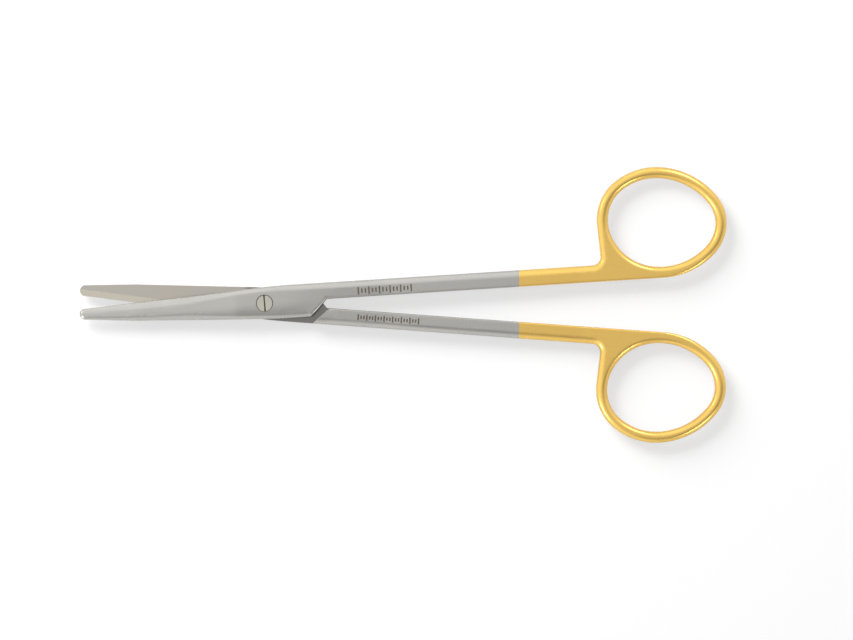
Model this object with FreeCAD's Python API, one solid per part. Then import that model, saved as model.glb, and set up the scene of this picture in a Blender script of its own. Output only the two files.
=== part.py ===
import FreeCAD, Part
import math
import os
from FreeCAD import Rotation, Vector

# Dissecting scissors, straight and blunt, with hard-metal cutting inserts and a screw joint.
# Millimetres. The origin is on the pivot axis, on the flat underside of the joint. +Z runs up
# along the pivot and +X points from the pivot to the finger rings. Each half is drawn closed,
# with its ring towards +Y and its lap face on the plane between the halves, and then turned open.

# Rest pose
rest_opening = 7.4            # degrees between the halves as they lie

# Joint
joint_thickness = 2.6         # one half at the joint
joint_outer = 4.66            # pivot axis to the outer edge
joint_back = 4.72             # pivot axis to the back edge
joint_outer_x = 2.8           # where the cutting edge turns into the outer edge of the shank
joint_back_x = 4.0            # where the back of the blade turns parallel to the joint
heel_x = 12.9                 # end of the back edge, where the slanted edge starts
crotch_x = 17.3               # where the slanted edge meets the inner edge of the shank
heel_radius = 1.8
crotch_radius = 0.6
joint_edge_radius = 150.0     # easing of the two long edges past the joint
lap_gap = 0.04                # between the lap faces of the halves
shoulder_outer_x = 13.7       # outer end of the shoulder that the other half meets wide open
shoulder_inner_x = 17.9       # inner end of that shoulder
lip_chamfer = 0.35            # on the shoulder and on the slanted edge

# Blade
blade_length = 51.57          # pivot axis to the tip
blade_root = 8.0              # pivot axis to where the blade starts to thin
tip_width = 2.95
tip_thickness = 1.2
tip_edge_offset = 1.43        # axis to the cutting edge at the tip
tip_nose = 1.0                # length of the rounded nose
back_break_x = -36.0          # where the back of the blade bends towards the tip
back_break = 2.75             # axis to the back at that bend

# Section of the blade from root to tip: distance ahead of the pivot axis, ground bevel along
# the cutting edge, bevel along the back, and the upright walls left under the two bevels
blade_mid = 22.0
edge_bevel_mid = 1.45
back_bevel_mid = 1.7
edge_bevel_tip = 0.7
back_bevel_tip = 0.7
edge_wall = 0.75
back_wall = 0.85
bevel_bow = 0.05              # how far a bevel bows out, as a share of its width

# Hard-metal insert along the cutting edge
insert_width = 1.8
insert_thickness = 0.6
insert_root = 9.5             # pivot axis to the end of the insert

# Shank
crotch_gap = 0.3              # between the two shanks when closed, at the joint
shank_gap = 0.8               # the same at the rings
shank_width = 4.6             # at the ring end
shank_taper_start = 19.5      # pivot axis to where the shank starts to thin
shank_taper_end = 88.0
edge_round = 1.35             # rounding of the long edges of shank and ring
inner_round = 0.4             # of the shank's inner edge, which grows to the other under the ring
taper_easing = 160.0          # radius that eases the taper at both of its ends

# Finger ring, an oval opening with a bar of even width round it
ring_x = 110.5                # pivot axis to the middle of the ring
ring_tilt = -8.4              # degrees
ring_front = 13.9             # middle to the shank side of the opening
ring_rear = 16.05             # middle to the far side
ring_outside = 11.8           # middle to the side away from the other ring
ring_inside = 12.8            # middle to the side next to the other ring
ring_corner_rear_out = 8.6    # radii of the four corners of the oval
ring_corner_front_out = 10.4
ring_corner_front_in = 11.4
ring_corner_rear_in = 9.7
ring_bar = 3.1
ring_thickness = 3.2
fork_x = 94.1                 # where the outer edge of the shank meets the ring
fork_radius = 2.4

# Pivot screw
head_diameter = 4.5
head_thickness = 1.1
head_chamfer = 0.12
counterbore_gap = 0.14        # round the head
journal_diameter = 3.4        # the smooth length that the upper half turns on
running_gap = 0.04            # round the journal and under the head
thread_diameter = 3.0
thread_gap = 0.01
end_recess = 0.1              # the screw's end below the underside of the joint
end_chamfer = 0.2
slot_width = 0.45
slot_depth = 0.5
slot_angle = 94.9             # degrees from the long axis

# Worked out from the sizes above. A half's lap face lies at height lap, the other half's at -lap.
lap = lap_gap / 2
ring_half = ring_thickness / 2
tip_back_offset = tip_width - tip_edge_offset
nose_root_x = tip_nose - blade_length
handle_start_x = shoulder_outer_x - (shoulder_inner_x - crotch_x)
head_bottom = joint_thickness - head_thickness
far = 2 * (ring_x + blade_length)       # well past the part on every side
touching = 0.001                        # between an edge and a path that it lies over


def at(x, y, z=0.0):
    return Vector(x, y, z)


def line(p, q):
    return Part.LineSegment(p, q).toShape()


def arc(p, middle, q):
    return Part.Arc(p, middle, q).toShape()


def circle_arc(centre, radius, start, end):
    """Arc about a centre in the XY plane, between two angles in radians."""
    points = [centre + radius * at(math.cos(a), math.sin(a)) for a in (start, (start + end) / 2, end)]
    return arc(*points)


def rounded_path(corners):
    """Straight runs through the corners, each corner an (x, y, radius), joined by tangent arcs."""
    points = [at(x, y) for x, y, radius in corners]
    edges = []
    last = points[0]
    for before, corner, after, (_, _, radius) in zip(points, points[1:], points[2:], corners[1:]):
        to_before = (before - corner).normalize()
        to_after = (after - corner).normalize()
        half_angle = to_before.getAngle(to_after) / 2
        if radius > 0:
            start = corner + to_before * (radius / math.tan(half_angle))
            end = corner + to_after * (radius / math.tan(half_angle))
            to_centre = (to_before + to_after).normalize()
            middle = corner + to_centre * (radius / math.sin(half_angle) - radius)
            edges += [line(last, start), arc(start, middle, end)]
            last = end
        else:
            edges.append(line(last, corner))
            last = corner
    edges.append(line(last, points[-1]))
    return edges


def closed_path(corners):
    """The same, closed, starting and ending at the first corner, which stays sharp."""
    return rounded_path(corners + [corners[0]])


def prism(edges, bottom, top, holes=()):
    """Upright block over a closed outline, with holes through it."""
    face = Part.Face([Part.Wire(Part.sortEdges(group)[0]) for group in (edges, *holes)])
    face.validate()
    face.translate(at(0, 0, bottom))
    return face.extrude(at(0, 0, top - bottom))


def height_on(p, q, x):
    """Y at x on the straight line through two points."""
    return p[1] + (q[1] - p[1]) * (x - p[0]) / (q[0] - p[0])


# Corners of a half, seen from above
tip_edge = (nose_root_x, tip_edge_offset)
outer_turn = (joint_outer_x, joint_outer)
fork = (fork_x, shank_gap / 2 + shank_width)
tip_back = (nose_root_x, -tip_back_offset)
back_bend = (back_break_x, -back_break)
back_turn = (joint_back_x, -joint_back)
heel = (heel_x, -joint_back)
crotch = (crotch_x, crotch_gap / 2)
shoulder_outer = (shoulder_outer_x, joint_outer)
shoulder_inner = (shoulder_inner_x, crotch_gap / 2)


def outer_edge_y(x):
    """The cutting edge ahead of the joint, and the outer edge of the shank behind it."""
    if x < joint_outer_x:
        return height_on(tip_edge, outer_turn, x)
    return height_on(outer_turn, fork, x)


def back_edge_y(x):
    if x < back_break_x:
        return height_on(tip_back, back_bend, x)
    return height_on(back_bend, back_turn, x)


# Finger ring
def oval_arcs(bar):
    """Centre, radius and angles of the eight arcs of the ring's opening, grown by the bar.

    Each quadrant is a tight corner arc and a wide arc that meet in one tangent. They run
    counter-clockwise from the side next to the other ring, in the ring's own tilted frame.
    """
    quadrants = (
        (1, -1, ring_rear, ring_inside, ring_corner_rear_in),
        (1, 1, ring_rear, ring_outside, ring_corner_rear_out),
        (-1, 1, ring_front, ring_outside, ring_corner_front_out),
        (-1, -1, ring_front, ring_inside, ring_corner_front_in),
    )
    tilt = math.radians(ring_tilt)
    arcs = []
    for number, (along, across, length, width, corner) in enumerate(quadrants):
        wide = (length ** 2 - 2 * length * corner + width ** 2) / (2 * (width - corner))
        meet = math.atan2(wide - width, length - corner)
        first = (number - 1) * math.pi / 2 + tilt
        last = first + math.pi / 2
        tight_centre = at(along * (length - corner), 0)
        wide_centre = at(0, across * (width - wide))
        if along == across:
            join = first + meet
            pair = [(tight_centre, corner, first, join), (wide_centre, wide, join, last)]
        else:
            join = last - meet
            pair = [(wide_centre, wide, first, join), (tight_centre, corner, join, last)]
        for centre, radius, start, end in pair:
            turned = Rotation(at(0, 0, 1), ring_tilt).multVec(centre)
            arcs.append((turned, radius + bar, start, end))
    return arcs


def arc_facing(arcs, angle):
    for centre, radius, start, end in arcs:
        if start <= angle < end:
            return centre, radius
    raise ValueError("the oval has no arc at this angle")


def middle_of_ring():
    """The bar of the ring touches the line of the shank's inner edge."""
    centre, radius = arc_facing(oval_arcs(ring_bar), -math.pi / 2)
    return at(ring_x, shank_gap / 2 + radius - centre.y)


def front_angle(middle):
    """Angle at which a line from the fork touches the shank side of the ring."""
    for centre, radius, start, end in oval_arcs(ring_bar):
        to_centre = middle + centre - at(*fork)
        if to_centre.Length > radius:
            lean = math.asin(radius / to_centre.Length)
            angle = math.atan2(to_centre.y, to_centre.x) + lean + math.pi / 2
            if start <= angle < end:
                return angle
    raise ValueError("the fork lies inside the ring")


def opening_outline():
    middle = middle_of_ring()
    return [circle_arc(middle + c, r, a, b) for c, r, a, b in oval_arcs(0)]


def bar_outline():
    """Outer edge of the ring, from under the ring round its rear to the shank side."""
    middle = middle_of_ring()
    first = -math.pi / 2
    last = front_angle(middle)
    edges = []
    for centre, radius, start, end in oval_arcs(ring_bar):
        if end > first and start < last:
            edges.append(circle_arc(middle + centre, radius, max(start, first), min(end, last)))
    return edges


# Shank and ring
handle_start = (handle_start_x, outer_edge_y(handle_start_x))


def handle_edges():
    """The long edges of shank and ring, from the crotch round the ring to the joint."""
    bar = bar_outline()
    under = bar[0].Vertexes[0].Point
    front = bar[-1].Vertexes[-1].Point
    outer = rounded_path([(front.x, front.y, 0), (*fork, fork_radius), (*handle_start, 0)])
    return [line(at(*crotch), under)] + bar + outer


def side_outline():
    """Shank and ring seen from the side: flat joint, even taper, flat ring."""
    edges = []
    for side in (1, -1):
        edges += rounded_path([
            (0, side * joint_thickness, 0),
            (shank_taper_start, side * joint_thickness, taper_easing),
            (shank_taper_end, side * ring_half, taper_easing),
            (far, side * ring_half, 0),
        ])
    edges.append(line(at(0, -joint_thickness), at(0, joint_thickness)))
    edges.append(line(at(far, -ring_half), at(far, ring_half)))
    return edges


def lies_on(edge, path):
    """Whether the middle of an edge lies over a path drawn in the XY plane."""
    middle = edge.valueAt((edge.FirstParameter + edge.LastParameter) / 2)
    spot = Part.Vertex(middle.x, middle.y, 0)
    return min(spot.distToShape(piece)[0] for piece in path) < touching


def rim_radii(edge, inner_edge):
    """Rounding at the two ends of a rim, small where an end lies over the shank's inner edge."""
    ends = [edge.valueAt(place) for place in (edge.FirstParameter, edge.LastParameter)]
    away = [inner_edge.distToShape(Part.Vertex(end.x, end.y, 0))[0] for end in ends]
    return [inner_round if distance < touching else edge_round for distance in away]


def rounded(body, rims, inner_edge):
    """The body with its rims rounded, each evenly from one end's radius to the other's."""
    document = FreeCAD.newDocument()
    plain = document.addObject("Part::Feature")
    plain.Shape = body
    fillet = document.addObject("Part::Fillet")
    fillet.Base = plain
    fillet.Edges = [
        (number, *rim_radii(edge, inner_edge))
        for number, edge in enumerate(body.Edges, 1)
        if any(edge.isSame(rim) for rim in rims)
    ]
    document.recompute()
    shape = fillet.Shape.copy()
    FreeCAD.closeDocument(document.Name)
    return shape


def handle():
    """Shank and finger ring at full thickness, with every long edge rounded."""
    outline = handle_edges()
    opening = opening_outline()
    start = line(at(*handle_start), at(*crotch))
    block = prism(outline + [start], -joint_thickness, joint_thickness, [opening])
    side = prism(side_outline(), 0, 2 * far)
    side.rotate(at(0, 0), at(1, 0, 0), 90)
    side.translate(at(0, far))
    body = block.common(side)
    rims = [edge for edge in body.Edges if abs(edge.BoundBox.Center.z) > ring_half - touching]
    rims = [edge for edge in rims if lies_on(edge, outline + opening)]
    return rounded(body, rims, outline[0])


# Joint plate, which lies over the other half
def plate():
    """The joint from the root of the blade to the crotch, one half thick."""
    end_x = crotch_x + crotch_radius
    outer = [
        (-blade_root, outer_edge_y(-blade_root), 0),
        (*outer_turn, joint_edge_radius),
        (end_x, outer_edge_y(end_x), 0),
    ]
    back = [
        (end_x, -joint_back, 0),
        (*back_turn, joint_edge_radius),
        (-blade_root, back_edge_y(-blade_root), 0),
    ]
    body = prism(closed_path(outer + back), 0, joint_thickness)
    long_edges = rounded_path(outer) + rounded_path(back)
    rims = [edge for edge in body.Edges if edge.BoundBox.ZMin > joint_thickness - touching]
    body = body.makeFillet(edge_round, [edge for edge in rims if lies_on(edge, long_edges)])
    before_heel_x = heel_x - 2 * heel_radius
    beyond_slant = [
        (before_heel_x, -joint_back, 0),
        (*heel, heel_radius),
        (*crotch, crotch_radius),
        (far, crotch_gap / 2, 0),
        (far, -far, 0),
        (before_heel_x, -far, 0),
    ]
    body = body.cut(prism(closed_path(beyond_slant), -joint_thickness, 2 * joint_thickness))
    return body.cut(lip_wedge(at(*heel), at(*crotch), joint_thickness))


def lip_wedge(start, end, level):
    """Tool that chamfers a straight lip, the solid on the left as seen from start to end."""
    along = (end - start).normalize()
    inwards = at(0, 0, 1).cross(along) * lip_chamfer
    into = at(0, 0, -math.copysign(lip_chamfer, level))
    lip = start + at(0, 0, level)
    overrun = 4                         # how many chamfers the tool runs on past both faces
    outside = lip - (inwards + into) * overrun
    far_side = inwards * (2 * overrun + 1)
    far_down = into * (2 * overrun + 1)
    face = Part.Face(Part.makePolygon([outside, outside + far_side, outside + far_down, outside]))
    return face.extrude(end - start)


# Blade
def share(start, end, x):
    return min(max((x - start) / (end - start), 0.0), 1.0)


def blend(first, last, part):
    return first + (last - first) * part


def blade_section(ahead):
    """Section across the blade, a distance ahead of the pivot axis."""
    to_mid = share(blade_root, blade_mid, ahead)
    to_tip = share(blade_mid, blade_length, ahead)
    thickness = blend(joint_thickness, tip_thickness, (ahead - blade_root) / (blade_length - blade_root))
    edge_bevel = blend(blend(edge_round, edge_bevel_mid, to_mid), edge_bevel_tip, to_tip)
    back_bevel = blend(blend(edge_round, back_bevel_mid, to_mid), back_bevel_tip, to_tip)
    root_wall = joint_thickness - edge_round
    upright_edge = blend(root_wall, edge_wall, to_mid)
    upright_back = blend(root_wall, back_wall, to_mid)
    quarter_round_bow = (1 - math.sqrt(0.5)) / math.sqrt(2)
    bow = blend(quarter_round_bow, bevel_bow, to_mid)
    edge_y = outer_edge_y(-ahead)
    back_y = back_edge_y(-ahead)

    def spot(y, z):
        return at(-ahead, y, z)

    def bowed(p, q, outwards):
        run = q - p
        normal = at(0, -run.z, run.y) if outwards > 0 else at(0, run.z, -run.y)
        return arc(p, (p + q) / 2 + normal * bow, q)

    foot_edge = spot(edge_y, -joint_thickness)
    foot_back = spot(back_y, -joint_thickness)
    wall_edge_top = spot(edge_y, upright_edge)
    wall_back_top = spot(back_y, upright_back)
    crease_edge = spot(edge_y - edge_bevel, thickness)
    crease_back = spot(back_y + back_bevel, thickness)
    return Part.Wire([
        line(foot_back, foot_edge),
        line(foot_edge, wall_edge_top),
        bowed(wall_edge_top, crease_edge, 1),
        line(crease_edge, crease_back),
        bowed(crease_back, wall_back_top, 1),
        line(wall_back_top, foot_back),
    ])


def blade():
    """Blade from its root to the tip, rounded at the nose."""
    stations = (blade_root, blade_mid, -back_break_x, blade_length + tip_nose)
    body = Part.makeLoft([blade_section(ahead) for ahead in stations], True, False)
    tip = at(-blade_length, (tip_edge[1] + tip_back[1]) / 2)
    behind_nose = rounded_path([
        (*tip_back, 0),
        (nose_root_x, -far, 0),
        (far, -far, 0),
        (far, far, 0),
        (nose_root_x, far, 0),
        (*tip_edge, 0),
    ])
    nose = arc(at(*tip_edge), tip, at(*tip_back))
    return body.common(prism(behind_nose + [nose], 0, 2 * joint_thickness))


# One half, with its lap face down
def lap_tool():
    """Room for the other half: all that lies under the lap face, up to the shoulder."""
    toward_outer = (at(*shoulder_outer) - at(*shoulder_inner)).normalize() * far
    top = at(*shoulder_outer) + toward_outer
    bottom = at(*shoulder_inner) - toward_outer
    corners = [(top.x, top.y, 0), (bottom.x, bottom.y, 0), (-far, -far, 0), (-far, far, 0)]
    return prism(closed_path(corners), -2 * joint_thickness, lap)


def insert_seat():
    """Strip along the cutting edge that the insert fills, open towards the lap face."""
    root = -insert_root
    edges = closed_path([
        (root, outer_edge_y(root) - insert_width, 0),
        (root, 2 * joint_outer, 0),
        (-far, 2 * joint_outer, 0),
        (-far, outer_edge_y(-far) - insert_width, 0),
    ])
    return prism(edges, lap, lap + insert_thickness)


def half():
    """A whole half closed, without its insert and before its screw hole."""
    body = blade().fuse([plate(), handle()])
    body = body.removeSplitter()
    body = body.cut(lap_tool())
    shoulder = lip_wedge(at(*shoulder_inner), at(*shoulder_outer), -joint_thickness)
    return body.cut(shoulder)


def pin(diameter, bottom, top):
    return Part.makeCylinder(diameter / 2, top - bottom, at(0, 0, bottom))


def screw():
    """Slotted shoulder screw, head up, with its end just short of the underside."""
    head = pin(head_diameter, head_bottom, joint_thickness)
    rim = [edge for edge in head.Edges if edge.BoundBox.ZMin > joint_thickness - touching]
    head = head.makeChamfer(head_chamfer, rim)
    journal = pin(journal_diameter, -lap, head_bottom)
    end = end_recess - joint_thickness
    thread = pin(thread_diameter, end, -lap)
    rim = [edge for edge in thread.Edges if edge.BoundBox.ZMax < end + touching]
    thread = thread.makeChamfer(end_chamfer, rim)
    body = head.fuse([journal, thread]).removeSplitter()
    slot = Part.makeBox(2 * head_diameter, slot_width, 2 * slot_depth)
    slot.translate(at(-head_diameter, -slot_width / 2, joint_thickness - slot_depth))
    slot.rotate(at(0, 0), at(0, 0, 1), slot_angle)
    return body.cut(slot)


def screw_clearance():
    """Counterbore and bore in the upper half, which turns on the screw."""
    bore = pin(journal_diameter + 2 * running_gap, -joint_thickness, joint_thickness)
    head_room = head_diameter + 2 * counterbore_gap
    return bore.fuse(pin(head_room, head_bottom - running_gap, 2 * joint_thickness))


def screw_thread():
    """Tapped hole in the lower half, at the size of the thread's outside."""
    return pin(thread_diameter + 2 * thread_gap, -2 * joint_thickness, joint_thickness)


# The whole part
def turned(shape, degrees):
    """A copy turned about the pivot axis."""
    copy = shape.copy()
    copy.rotate(at(0, 0), at(0, 0, 1), degrees)
    return copy


def flipped(shape):
    """A copy turned over, about the long axis, as the lower half is."""
    copy = shape.copy()
    copy.rotate(at(0, 0), at(1, 0, 0), 180)
    return copy


def build():
    blank = half()
    insert = blank.common(insert_seat())
    body = blank.cut(insert_seat())
    each = rest_opening / 2
    pieces = {
        "upper_half": turned(body.cut(screw_clearance()), each),
        "lower_half": turned(flipped(body).cut(screw_thread()), -each),
        "upper_blade_insert": turned(insert, each),
        "lower_blade_insert": turned(flipped(insert), -each),
        "pivot_screw": screw(),
    }
    for shape in pieces.values():
        shape.translate(at(0, 0, joint_thickness))
    return pieces


os.makedirs("parts", exist_ok=True)
for name, shape in build().items():
    shape.exportStep("parts/%s.step" % name)
    print(name, "valid" if shape.isValid() else "broken", round(shape.Volume, 1), "cubic mm")
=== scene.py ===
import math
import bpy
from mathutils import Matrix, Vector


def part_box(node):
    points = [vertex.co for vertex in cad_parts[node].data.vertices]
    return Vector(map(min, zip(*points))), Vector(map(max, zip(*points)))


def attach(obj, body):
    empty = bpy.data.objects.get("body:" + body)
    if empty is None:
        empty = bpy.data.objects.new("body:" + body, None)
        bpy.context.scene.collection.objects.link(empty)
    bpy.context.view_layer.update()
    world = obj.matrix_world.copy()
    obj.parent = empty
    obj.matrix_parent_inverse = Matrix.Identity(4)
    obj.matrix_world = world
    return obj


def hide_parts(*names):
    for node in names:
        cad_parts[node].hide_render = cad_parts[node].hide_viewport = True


bl_info = {
    "name": "Dissecting Scissors",
    "version": (1, 0, 0),
    "blender": (4, 5, 0),
    "location": "3D Viewport > Sidebar > Scissors",
    "description": "Dresses a packed pair of dissecting scissors: forged halves, screw, inserts and marks",
    "category": "Add Mesh",
}

from collections import namedtuple

import bmesh
import bpy
import numpy as np
from bpy.props import FloatProperty, FloatVectorProperty, IntProperty, PointerProperty
from mathutils import Matrix, Vector
from mathutils.geometry import delaunay_2d_cdt

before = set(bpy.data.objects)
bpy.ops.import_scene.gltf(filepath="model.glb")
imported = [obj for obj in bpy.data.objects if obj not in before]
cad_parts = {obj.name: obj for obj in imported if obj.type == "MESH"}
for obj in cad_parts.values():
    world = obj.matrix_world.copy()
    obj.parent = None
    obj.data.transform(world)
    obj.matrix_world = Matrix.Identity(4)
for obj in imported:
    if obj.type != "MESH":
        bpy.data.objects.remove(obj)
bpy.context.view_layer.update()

# Metres throughout. A half is drawn closed, as the upper one: its ring towards +Y, the plane
# between the halves at Z 0 and the pivot axis at X 0, Y 0. It is then turned to its place.
MM = 0.001
HALF_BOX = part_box("upper_half")
SCREW_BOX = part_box("pivot_screw")
INSERT_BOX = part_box("upper_blade_insert")
JOINT_THICKNESS = HALF_BOX[1].z / 2
INSERT_THICKNESS = INSERT_BOX[1].z - INSERT_BOX[0].z
LAP = INSERT_BOX[0].z - JOINT_THICKNESS
# A reach past everything, and the distance at which two points are one
FAR = 1.0
WELD = 0.001 * MM


def length(name, description, default):
    return FloatProperty(name=name, description=description, default=default * MM,
                         subtype="DISTANCE", unit="LENGTH", precision=5)


def angle(name, description, default):
    return FloatProperty(name=name, description=description, default=math.radians(default),
                         subtype="ANGLE", unit="ROTATION")


def share(name, description, default):
    return FloatProperty(name=name, description=description, default=default,
                         min=0.0, max=1.0, subtype="FACTOR")


def colour(name, description, default):
    return FloatVectorProperty(name=name, description=description, default=default,
                               size=3, min=0.0, max=1.0, subtype="COLOR")


def number_of(name, description, default, low, high):
    return IntProperty(name=name, description=description, default=default, min=low, max=high)


def power(name, description, default):
    return FloatProperty(name=name, description=description, default=default, min=0.0,
                         subtype="POWER", unit="POWER")


# Sizes of the two halves
class HalfSizes(bpy.types.PropertyGroup):
    rest_opening: angle("Opening", "Angle between the two halves as they lie", 7.4)

    joint_outer: length("Joint outer edge", "Pivot axis to the outer edge of the joint", 4.66)
    joint_back: length("Joint back edge", "Pivot axis to the back edge of the joint", 4.58)
    joint_outer_x: length("Outer turn", "Where the cutting edge turns into the shank", 2.8)
    joint_back_x: length("Back turn", "Where the blade's back turns parallel to the joint", 4.0)
    heel_x: length("Heel", "End of the back edge of the joint", 12.9)
    heel_radius: length("Heel radius", "Rounding of the heel seen from above", 1.8)
    crotch_x: length("Crotch", "Where the slanted edge meets the shank", 17.3)
    crotch_radius: length("Crotch radius", "Rounding in the crotch", 0.6)
    joint_edge_radius: length("Joint edge radius", "Easing of the long edges past the joint", 150.0)
    shoulder_outer_x: length("Shoulder, outer end", "Outer end of the shoulder", 13.7)
    shoulder_inner_x: length("Shoulder, inner end", "Inner end of the shoulder", 17.9)
    lip: length("Lip", "Chamfer on the shoulder and the slanted edge", 0.38)

    blade_length: length("Blade length", "Pivot axis to the tip", 51.57)
    blade_root: length("Blade root", "Pivot axis to where the blade starts to thin", 8.0)
    blade_mid: length("Blade middle", "Pivot axis to where the bevels are full", 22.0)
    tip_width: length("Tip width", "Width of the blade at the nose", 2.95)
    tip_thickness: length("Tip thickness", "Thickness of the blade at the nose", 1.2)
    tip_edge_offset: length("Tip edge", "Axis to the cutting edge at the tip", 1.43)
    tip_nose: length("Nose", "Length of the rounded nose", 1.0)
    back_break_x: length("Back break", "Where the back bends towards the tip", -36.0)
    back_break: length("Back at the break", "Axis to the back at that bend", 2.75)
    back_break_radius: length("Back break radius", "Easing of that bend", 60.0)
    edge_bevel: length("Ground bevel", "Width of the ground bevel at the blade's middle", 2.15)
    edge_border: share("Bevel border", "How crisp the border of the ground bevel is", 0.6)
    edge_wall: length("Ground wall", "Upright wall under the ground bevel", 0.75)
    back_bevel: length("Back bevel", "Width of the bevel along the back", 1.5)
    back_wall: length("Back wall", "Upright wall under the back bevel", 0.85)
    tip_bevel: length("Tip bevel", "Width of the back bevel at the tip", 0.8)
    tip_edge_bevel: length("Tip ground bevel", "Width of the ground bevel at the tip", 1.6)
    nose_round: length("Nose rounding", "Rounding over the top of the nose", 0.75)
    insert_width: length("Insert width", "Width of the hard-metal insert", 1.8)
    insert_root: length("Insert root", "Pivot axis to the end of the insert", 9.5)
    insert_seam: length("Insert seam", "Seam between an insert and its seat", 0.012)

    crotch_gap: length("Gap at the crotch", "Between the closed shanks at the joint", 0.3)
    shank_gap: length("Gap at the rings", "Between the closed shanks at the rings", 0.8)
    shank_width: length("Shank width", "Width of the shank at the ring", 4.6)
    taper_start: length("Taper start", "Where the shank starts to thin", 19.5)
    taper_end: length("Taper end", "Where the shank has the ring's thickness", 88.0)
    taper_easing: length("Taper easing", "Length that eases each end of a taper", 2.4)
    edge_drop: length("Edge drop", "Depth of the rounding of the long edges", 1.35)
    joint_round: length("Joint rounding", "Width of the rounding along the joint", 1.5)
    back_round: length("Back rounding", "Width of the rounding along the joint's back", 1.4)
    back_border: share("Back border", "How crisp the border of that rounding is", 0.2)
    shank_round: length("Shank rounding", "Width of the rounding along the shank", 1.65)
    shank_border: share("Shank border", "How crisp the border of that rounding is", 0.42)
    inner_round: length("Inner rounding", "Rounding of the shank's inner edge", 0.4)
    crown_slope: angle("Crown", "Slope to which the flats fall along the back edge", 11.0)
    shank_lean: angle("Shank lean", "Slope of the shank's flats just behind the joint", 3.5)
    lean_end: length("Lean end", "Where the shank's flats are level again", 42.0)
    crown_blade: length("Crown on the blade", "Width of that fall on the blade", 1.6)
    crown_joint: length("Crown on the joint", "Width of that fall on the joint", 3.0)
    ring_round: length("Ring rounding", "Width of the rounding of the ring's edges", 1.45)

    ring_x: length("Ring middle", "Pivot axis to the middle of the ring", 110.5)
    ring_tilt: angle("Ring tilt", "Turn of the oval against the shank", -8.4)
    ring_front: length("Ring front", "Middle to the shank side of the opening", 13.9)
    ring_rear: length("Ring rear", "Middle to the far side", 16.05)
    ring_outside: length("Ring outside", "Middle to the side away from the other ring", 11.8)
    ring_inside: length("Ring inside", "Middle to the side next to the other ring", 12.8)
    corner_rear_out: length("Rear outer corner", "Radius of that corner of the oval", 8.6)
    corner_front_out: length("Front outer corner", "Radius of that corner of the oval", 10.4)
    corner_front_in: length("Front inner corner", "Radius of that corner of the oval", 11.4)
    corner_rear_in: length("Rear inner corner", "Radius of that corner of the oval", 9.7)
    ring_bar: length("Ring bar", "Width of the bar round the opening", 3.1)
    ring_thickness: length("Ring thickness", "Thickness of the ring", 3.2)
    fork_x: length("Fork", "Where the shank's outer edge meets the ring", 94.1)
    fork_radius: length("Fork radius", "Rounding in the fork", 2.4)
    plating_x: length("Plating line", "Where the gold plating starts, seen from above", 70.7)


class MeshSizes(bpy.types.PropertyGroup):
    run_step: length("Step on straight runs", "Spacing of points along straight edges", 0.7)
    arc_step: length("Step on bends", "Spacing of points round bends", 0.35)
    fill_step: length("Step on flats", "Spacing of points across flat faces", 0.6)
    layers: number_of("Layers", "Strips over a rounded edge", 12, 3, 40)
    hole_sides: number_of("Hole sides", "Sides of the screw holes", 96, 12, 256)
    sharp: angle("Sharp edge", "Edges that turn by more than this stay crisp", 27.0)


class ScrewSizes(bpy.types.PropertyGroup):
    head_thickness: length("Head thickness", "Height of the head", 1.1)
    head_chamfer: length("Head chamfer", "Chamfer round the head", 0.12)
    counterbore_gap: length("Counterbore gap", "Gap round the head", 0.11)
    running_gap: length("Running gap", "Gap round the smooth length", 0.04)
    journal_radius: length("Journal radius", "Radius of the smooth length", 1.7)
    thread_radius: length("Thread radius", "Outside radius of the thread", 1.5)
    thread_gap: length("Thread gap", "Gap round the thread", 0.01)
    thread_pitch: length("Thread pitch", "Rise of one turn of the thread", 0.5)
    end_chamfer: length("End chamfer", "Chamfer at the end of the screw", 0.2)
    thread_depth: length("Thread depth", "Depth of the thread", 0.25)
    sides: number_of("Sides", "Sides round the screw", 96, 12, 256)
    thread_rows: number_of("Thread rows", "Rows of faces down the thread", 50, 8, 200)
    slot_width: length("Slot width", "Width of the driver slot", 0.40)
    slot_depth: length("Slot depth", "Depth of the driver slot", 0.5)
    slot_angle: angle("Slot angle", "Turn of the slot from the long axis", 94.9)


class MarkSizes(bpy.types.PropertyGroup):
    start_x: length("First mark", "Pivot axis to the first mark", 26.2)
    upper_count: number_of("Marks, upper", "Marks on the upper shank", 16, 1, 60)
    lower_count: number_of("Marks, lower", "Marks on the lower shank", 22, 1, 60)
    long_every: number_of("Long mark every", "Every so many marks is long", 3, 1, 20)
    upper_pitch: length("Pitch, upper", "Distance between marks on the upper shank", 0.98)
    lower_pitch: length("Pitch, lower", "Distance between marks on the lower shank", 0.8)
    upper_long: length("Long mark, upper", "Length of a long mark on the upper shank", 2.1)
    lower_long: length("Long mark, lower", "Length of a long mark on the lower shank", 1.7)
    short_share: share("Short mark", "Length of a short mark as a share of a long one", 0.6)
    upper_y: length("Row, upper", "Closed shanks' middle to the upper row", 1.85)
    lower_y: length("Row, lower", "Closed shanks' middle to the lower row", 2.1)
    width: length("Mark width", "Width of a mark", 0.4)
    depth: length("Depth", "How deep a mark is let into the steel", 0.03)
    proud: length("Proud", "How far a mark stands over the steel", 0.004)


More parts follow.
